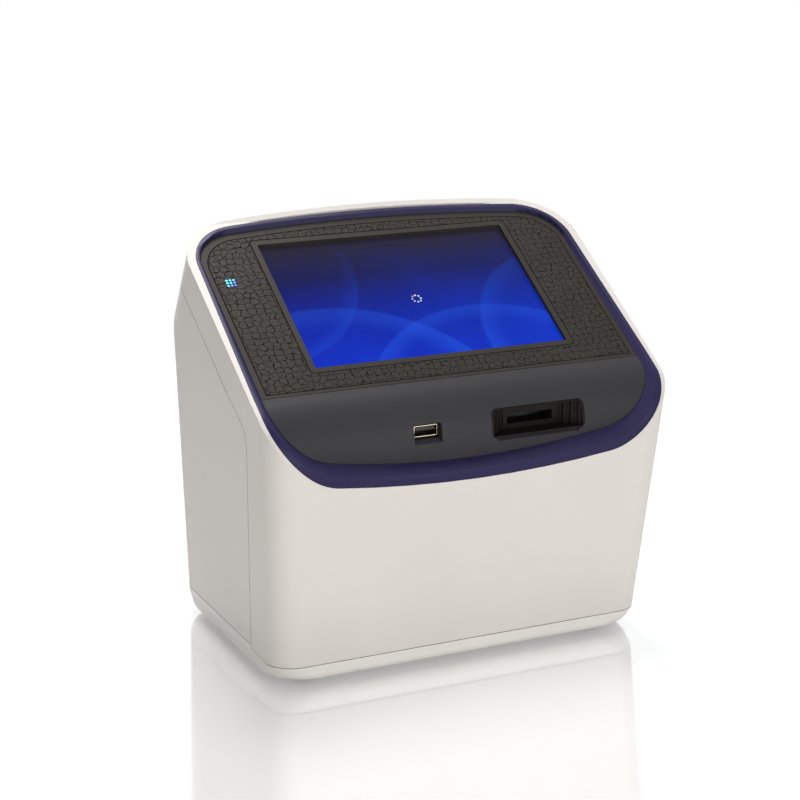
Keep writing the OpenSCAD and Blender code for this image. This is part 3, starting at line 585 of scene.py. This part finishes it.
@dataclass(frozen=True)
class Floor(Finish):
    """The pale polished studio floor: a shadow and a mirror image near the object, white further out.

    Reach is where the white begins and where it is full, in metres from the object's middle.
    """

    polish: float = 0.62
    lift: float = 0.54
    matt_roughness: float = 0.6
    tint: Colour = (0.965, 0.98, 1.0)
    reach: tuple[float, float] = (0.28, 1.0)
    cover: float = 0.94

    def material(self) -> bpy.types.Material:
        """The floor's material."""
        made = bpy.data.materials.new(self.name)
        tree = fresh_tree(made)
        matt = tree.solid(self.colour, self.matt_roughness)
        mirror = tree.solid(self.tint, self.roughness, 1.0)
        x, y, _ = tree.split(tree.place())
        near = tree.ramp(tree.length(x, y), *self.reach, self.cover, 0.0)
        lifted = tree.node("ShaderNodeAddShader")
        tree.feed(lifted.inputs[0], tree.blend(self.polish, matt, mirror))
        tree.feed(lifted.inputs[1], tree.glow(WHITE, self.lift * (1.0 - self.polish)))
        sweep = tree.blend(near, tree.glow(WHITE, 1.0), lifted.outputs[0])
        out = tree.node("ShaderNodeOutputMaterial")
        tree.feed(out.inputs["Surface"], tree.blend(tree.seen(), matt, sweep))
        return made


CASING = Finish("off_white_moulding", srgb(222, 217, 211), 0.42, 0.015, 2200.0, 0.000012)
# painted light: the base tray's off-white is set lighter than the casing's to make up for the dimmer light that
# reaches the low tray
BASE_PAINTED_LIGHT = Finish("off_white_base_painted_light", srgb(233, 230, 224), 0.42, 0.015, 2200.0, 0.000012)
RING = Finish("navy_violet_moulding", srgb(40, 35, 74), 0.40, 0.05, 2400.0, 0.000015, specular=0.16)
BEZEL = PrintedBezel("tooled_bezel", srgb(54, 50, 46), 0.42, 0.03, 2600.0, specular=0.08)
PANEL = Finish("charcoal_moulding", srgb(54, 53, 57), 0.52, 0.04, 3000.0, 0.00001, specular=0.16)
SCREEN = LitScreen("lit_touch_glass", (0.004, 0.004, 0.006), 0.10, specular=0.03)
STATUS = Light("status_light_guide", (0.03, 0.32, 0.95), 0.3)
GLOSS_BLACK = Finish("gloss_black_moulding", srgb(30, 26, 24), 0.34, 0.05, 1800.0, 0.000004, specular=0.07)
MATT_BLACK = Finish("matt_black_moulding", srgb(30, 30, 32), 0.55, 0.06, 2400.0, 0.00002)
PLATED = Brushed("plated_steel", srgb(185, 169, 146), 0.22, metallic=1.0)
STEEL = Brushed("ground_steel", srgb(188, 188, 190), 0.28, metallic=1.0)
ANODISED = Brushed("dark_anodised", srgb(92, 94, 98), 0.38, metallic=0.9)
ALUMINIUM = Brushed("extruded_aluminium", srgb(120, 121, 124), 0.36, metallic=1.0)
BOARD = Finish("solder_resist", srgb(28, 92, 52), 0.35, 0.12, 900.0, 0.00003)
CERAMIC = Finish("sensor_package", srgb(66, 66, 76), 0.25, 0.05, 1500.0, 0.000006)
OPTIC = Finish("coated_glass", srgb(190, 215, 225), 0.06, 0.02, 800.0, 0.0, coat=1.0)
# painted shade: this dark brown stands in for the shade inside the gaps between the housing mouldings
SEAM_PAINTED_SHADE = Finish("seam_painted_shade", srgb(108, 84, 62), 0.8, 0.02, 2200.0, 0.0)
RUBBER = Finish("black_rubber", srgb(34, 33, 33), 0.75, 0.12, 1500.0, 0.00005)
FLOOR = Floor("studio_floor", (0.80, 0.80, 0.80), 0.09)

NODE_FINISHES: dict[str, Finish] = {
    "touch_glass": SCREEN, "lcd_panel": STEEL, "status_light": STATUS, "usb_front_tongue": MATT_BLACK,
    "optics_frame": ANODISED, "carriage_rails": STEEL, "slide_carriage": MATT_BLACK, "lamp_bridge": ANODISED,
    "lamp_housing": MATT_BLACK, "lamp_board": BOARD, "condenser_lens": OPTIC, "objective_barrel": MATT_BLACK,
    "objective_lens": OPTIC, "focus_carriage": STEEL, "focus_screw": STEEL, "focus_motor": MATT_BLACK,
    "guide_rods": STEEL, "camera_tube": MATT_BLACK, "camera_board": BOARD, "camera_sensor": CERAMIC,
    "main_board": BOARD, "heat_sink": ALUMINIUM, "usb_rear_tongue": MATT_BLACK}


@dataclass
class Moulding:
    """A moulded piece: the CAD form with its sharp edges softened and its curves shaded smooth.

    The bevel is in millimetres. Edges that turn by more than sharp, in degrees, get it, unless they are shorter than
    a small share of it.
    """

    node: str
    finish: Finish
    slot: str
    body: str = "housing"
    bevel: float = 0.25
    sharp: float = 28.0
    even: bool = True

    def build(self) -> bpy.types.Object:
        """Builds the piece from its node's form and dresses it.

        Returns:
            The finished object.
        """
        mesh = bpy.data.meshes.new(self.node + "_skin")
        work = bmesh.new()
        work.from_mesh(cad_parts[self.node].data)
        bmesh.ops.remove_doubles(work, verts=work.verts, dist=WELD)
        bmesh.ops.dissolve_degenerate(work, dist=SLIVER, edges=work.edges)
        bmesh.ops.dissolve_limit(work, angle_limit=COPLANAR, verts=work.verts, edges=work.edges)
        self.shape(work)
        limit = math.radians(self.sharp)
        edges = [e for e in work.edges if len(e.link_faces) == 2 and e.calc_face_angle(0.0) > limit
                 and e.calc_length() > self.bevel * MM * SHORTEST_EDGE]
        bmesh.ops.bevel(work, geom=edges, offset=self.bevel * MM, offset_type="OFFSET", segments=2, profile=0.5,
                        affect="EDGES", clamp_overlap=True, material=-1)
        for face in work.faces:
            face.smooth = True
        for edge in work.edges:
            edge.smooth = len(edge.link_faces) != 2 or edge.calc_face_angle(0.0) < SMOOTH_LIMIT
        work.to_mesh(mesh)
        work.free()
        made = add_object(self.node + "_skin", mesh)
        if self.even:
            weigh = made.modifiers.new("even_shading", "WEIGHTED_NORMAL")
            weigh.keep_sharp = True
            weigh.weight = FLAT_WEIGHT
        mesh.materials.append(self.finish.material())
        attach(made, self.body)
        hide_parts(self.node)
        LOG.info("%s: %d faces", made.name, len(mesh.polygons))
        return made

    def shape(self, work: bmesh.types.BMesh) -> None:
        """Reshapes the merged form before it is bevelled; a plain moulding keeps it."""


@dataclass
class Tray(Moulding):
    """The base tray: its lip from the CAD form, and a fresh outer skin with corners that round off downwards.

    Lengths are in millimetres. Plan holds the front and rear corner radii at the brim, which grow downwards; keel and
    toe are the foot roundings of the flanks and back and of the front; each wall is its foot's distance from the
    middle plane and its lean in degrees; lip is how far the lip reaches below the brim.
    """

    plan: tuple[float, float] = (14.7, 12.8)
    growth: float = 1.0
    keel: float = 3.6
    toe: float = 5.0
    underside: float = 3.0
    brim: float = 12.05
    gauge: float = 1.2
    lip: float = 0.6
    flank_wall: tuple[float, float] = (106.64, 2.75)
    front_wall: tuple[float, float] = (62.51, 7.35)
    back_wall: tuple[float, float] = (77.3, -3.3)
    foot_steps: int = 8

    def wall(self, foot: float, lean: float, radius: float, z: float) -> float:
        """Distance in millimetres of a leaning wall with a rounded foot from the middle plane, at a height."""
        rise = max(0.0, self.underside + radius - z)
        return foot + math.tan(math.radians(lean)) * z - (radius - math.sqrt(max(0.0, radius ** 2 - rise ** 2)))

    def outline(self, z: float, inset: float = 0.0, steps: int = 12) -> list[Vector]:
        """The skin's outline at a height, anticlockwise from the right flank's front end.

        Args:
            z: Height of the outline on the outer skin, in millimetres.
            inset: Distance that the outline lies inside the outer skin; it is lifted off the underside by as much.
            steps: Steps in each corner.

        Returns:
            The outline's points.
        """
        side = self.wall(*self.flank_wall, self.keel, z) - inset
        front = inset - self.wall(*self.front_wall, self.toe, z)
        back = self.wall(*self.back_wall, self.keel, z) - inset
        toe, heel = (plan + self.growth * (self.brim - z) - inset for plan in self.plan)
        lifted = z + inset * (self.brim - z) / (self.brim - self.underside)
        corners = ((side - toe, front + toe, toe, -90.0), (side - heel, back - heel, heel, 0.0),
                   (heel - side, back - heel, heel, 90.0), (toe - side, front + toe, toe, 180.0))
        return [Vector((cx + radius * math.cos(math.radians(start + 90.0 * i / steps)),
                        cy + radius * math.sin(math.radians(start + 90.0 * i / steps)), lifted)) * MM
                for cx, cy, radius, start in corners for i in range(steps + 1)]

    def shape(self, work: bmesh.types.BMesh) -> None:
        """Closes off the lip below and hangs the fresh cup from it."""
        down = (0.0, 0.0, -1.0)
        bmesh.ops.bisect_plane(work, geom=[*work.verts, *work.edges, *work.faces], dist=1e-6, clear_outer=True,
                               plane_co=Vector((0.0, 0.0, self.brim - self.lip)) * MM, plane_no=down)
        cut = [edge for edge in work.edges if edge.is_boundary]
        bmesh.ops.triangle_fill(work, edges=cut, normal=down)
        reach = max(self.keel, self.toe)
        levels = [self.underside + reach * (1.0 - math.cos(math.radians(90.0 * i / self.foot_steps)))
                  for i in range(self.foot_steps + 1)]
        levels.append(self.brim)
        outer = [[work.verts.new(at) for at in self.outline(z)] for z in levels]
        inner = [[work.verts.new(at) for at in self.outline(z, self.gauge)] for z in levels]
        rings = [*outer, *inner[::-1]]
        for low, high in zip(rings, rings[1:]):
            for i in range(len(low)):
                work.faces.new((low[i - 1], low[i], high[i], high[i - 1]))
        work.faces.new(outer[0][::-1])
        work.faces.new(inner[0])
        LOG.info("%s: %d open edges", self.node, sum(not edge.is_manifold for edge in work.edges))


@dataclass
class PaintedSeamShade:
    """Painted shade: dark sheets lining the gaps where the housing mouldings meet, standing in for the shade inside
    each gap so that each seam reads as a fine line.

    A face is lined when another moulding lies within its reach; the lining stands off it by the lift, both in
    millimetres.
    """

    nodes: tuple[str, ...] = ("front_shell", "rear_shell", "base_tray")
    reach: float = 0.6
    lift: float = 0.03

    def build(self) -> bpy.types.Object:
        """Copies every face that looks across a seam, just clear of its moulding, as a dark sheet of painted shade.

        Returns:
            The finished object.
        """
        forms = {}
        for node in self.nodes:
            form = bmesh.new()
            form.from_mesh(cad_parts[node].data)
            forms[node] = (form, BVHTree.FromBMesh(form))
        painted_shade = bmesh.new()
        for node, (form, _) in forms.items():
            others = [tree for name, (_, tree) in forms.items() if name != node]
            for face in form.faces:
                up = face.normal * self.lift * MM
                at = face.calc_center_median() + up
                if any(tree.ray_cast(at, face.normal, self.reach * MM)[0] is not None for tree in others):
                    # painted shade: a dark copy of a face that looks into a seam gap, where shade would fall
                    painted_shade.faces.new([painted_shade.verts.new(vert.co + up) for vert in face.verts])
        mesh = bpy.data.meshes.new("painted_seam_shade")
        bmesh.ops.remove_doubles(painted_shade, verts=painted_shade.verts, dist=SLIVER)
        bmesh.ops.solidify(painted_shade, geom=painted_shade.faces, thickness=self.lift * MM)
        painted_shade.to_mesh(mesh)
        for form in (painted_shade, *(form for form, _ in forms.values())):
            form.free()
        made = add_object("painted_seam_shade", mesh)
        mesh.materials.append(SEAM_PAINTED_SHADE.material())
        made.visible_glossy = False
        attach(made, "housing")
        LOG.info("%s: %d faces", made.name, len(mesh.polygons))
        return made


MOULDINGS = (
    Moulding("front_shell", CASING, "casing"), Moulding("rear_shell", CASING, "casing"),
    Tray("base_tray", BASE_PAINTED_LIGHT, "base"), Moulding("trim_ring", RING, "ring", bevel=0.35, even=False),
    Moulding("display_bezel", BEZEL, "bezel", bevel=0.2), Moulding("lower_panel", PANEL, "panel", bevel=0.2),
    Moulding("slide_port", GLOSS_BLACK, "port_black", bevel=0.15),
    Moulding("usb_front_shell", PLATED, "socket_metal", bevel=0.06),
    Moulding("usb_rear_shell", PLATED, "socket_metal", bevel=0.06),
    Moulding("rear_plate", MATT_BLACK, "socket_black", bevel=0.15),
    Moulding("dc_inlet", MATT_BLACK, "socket_black", bevel=0.1),
    Moulding("rocker_frame", MATT_BLACK, "socket_black", bevel=0.15),
    Moulding("power_rocker", GLOSS_BLACK, "port_black", body="rocker", bevel=0.2),
    *(Moulding("foot_" + corner, RUBBER, "rubber", bevel=0.3)
      for corner in ("front_left", "front_right", "rear_left", "rear_right")))


@dataclass
class Studio:
    """Floor, world, lamps and camera, in metres."""

    camera_at: Vector = field(default_factory=lambda: Vector((-0.44757, -0.94018, 0.41027)))
    right: Vector = field(default_factory=lambda: Vector((0.90135, -0.43308, 0.00329)))
    up: Vector = field(default_factory=lambda: Vector((0.11922, 0.25542, 0.95945)))
    lens: float = 90.566
    shift: tuple[float, float] = (-0.02918, 0.04913)
    aim: tuple[float, float, float] = (0.0, 0.0, 0.11)
    floor_half: float = 4.0
    sky: Colour = (1.0, 0.975, 0.93)
    sky_strength: float = 0.185

    def floor(self) -> None:
        """A wide plain floor under the object."""
        work = bmesh.new()
        bmesh.ops.create_grid(work, x_segments=1, y_segments=1, size=self.floor_half)
        mesh = bpy.data.meshes.new("floor")
        work.to_mesh(mesh)
        work.free()
        made = add_object("floor", mesh)
        mesh.materials.append(FLOOR.material())

    def world(self) -> None:
        """White where it is seen, a dim warm sky where it lights."""
        world = bpy.data.worlds.new("studio")
        bpy.context.scene.world = world
        tree = fresh_tree(world)
        sky, white = (tree.glow(colour, strength, "ShaderNodeBackground")
                      for colour, strength in ((self.sky, self.sky_strength), (WHITE, 1.0)))
        tree.feed(tree.node("ShaderNodeOutputWorld").inputs["Surface"], tree.blend(tree.seen(), sky, white))

    def lamp(self, name: str, at: tuple[float, float, float], size: tuple[float, float], power: float) -> None:
        """One rectangular soft lamp that faces the aim.

        Args:
            name: name of the lamp.
            at: its place in metres.
            size: its width and height in metres.
            power: its power in watts.
        """
        data = bpy.data.lights.new(name, "AREA")
        data.shape = "RECTANGLE"
        data.size, data.size_y = size
        data.energy = power
        made = add_object(name, data)
        made.location = at
        made.rotation_mode = "QUATERNION"
        made.rotation_quaternion = (Vector(self.aim) - Vector(at)).to_track_quat("-Z", "Y")

    def camera(self) -> None:
        """The camera at the object's usual three-quarter view."""
        data = bpy.data.cameras.new("view")
        data.sensor_width = 36.0
        data.lens = self.lens
        data.shift_x, data.shift_y = self.shift
        data.clip_start, data.clip_end = 0.05, 50.0
        made = add_object("view", data)
        back = self.right.cross(self.up)
        turn = Matrix((self.right, self.up, back)).transposed()
        made.matrix_world = Matrix.Translation(self.camera_at) @ turn.to_4x4()
        bpy.context.scene.camera = made

    def build(self) -> None:
        """Builds the whole studio."""
        self.camera()
        self.floor()
        self.world()
        self.lamp("key", (0.35, -1.6, 0.42), (1.2, 0.7), 9.7)
        self.lamp("fill", (-0.8, -1.3, 0.22), (0.9, 0.4), 4.1)
        self.lamp("top", (0.08, 0.5, 1.5), (0.5, 0.7), 20.0)
        bpy.context.scene.view_settings.view_transform = "Standard"


def main() -> None:
    """Builds the studio and every piece."""
    logging.basicConfig(level=logging.INFO, format="%(name)s %(message)s")
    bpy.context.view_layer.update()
    Studio().build()
    for moulding in MOULDINGS:
        moulding.build()
    # dark sheets of painted shade in the seam gaps
    PaintedSeamShade().build()
    for node, finish in NODE_FINISHES.items():
        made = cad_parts[node]
        made.data.materials.clear()
        made.data.materials.append(finish.material())
        LOG.info("%s: %s", node, finish.name)


if __name__ == "__main__":
    main()
